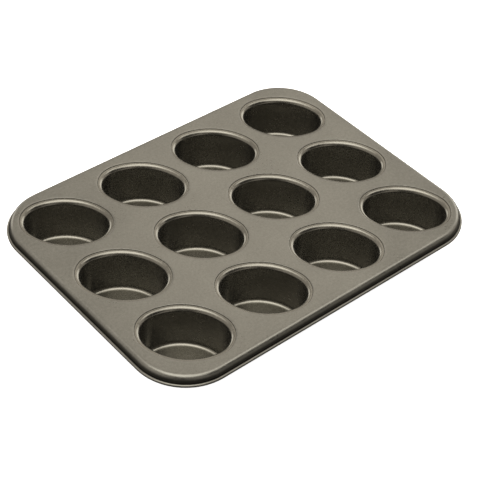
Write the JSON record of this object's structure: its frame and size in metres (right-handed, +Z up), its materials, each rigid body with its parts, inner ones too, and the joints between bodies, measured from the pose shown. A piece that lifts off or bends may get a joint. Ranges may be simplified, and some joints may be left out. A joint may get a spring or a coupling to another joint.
{
  "type": "muffin tin",
  "caption": "Rectangular baking tin: a frame plate with round corners and a wired rolled rim, and slanting oval cups set into its holes for baking muffins or friands.",
  "frame": {"origin": "on the plane that the cups stand on, below the middle of the tin", "axes": "+X along the tin's length (four cups), +Y along its width (three cups), +Z up, out of the cups' mouths"},
  "size_m": [0.3504, 0.2688, 0.0406],
  "materials": {
    "plate_coating": "satin grey non-stick coating with a fine metallic grain on sheet steel",
    "cup_coating": "satin grey non-stick coating with a fine metallic grain on drawn sheet steel",
    "wire_steel": "bright drawn steel wire, hidden in the rolled rim"
  },
  "bodies": {
    "root": {"frame_plate": "plate_coating", "rim_wire": "wire_steel", "cup_1": "cup_coating", "cup_2": "cup_coating", "cup_3": "cup_coating", "cup_4": "cup_coating", "cup_5": "cup_coating", "cup_6": "cup_coating", "cup_7": "cup_coating", "cup_8": "cup_coating", "cup_9": "cup_coating", "cup_10": "cup_coating", "cup_11": "cup_coating", "cup_12": "cup_coating"}
  },
  "joints": []
}
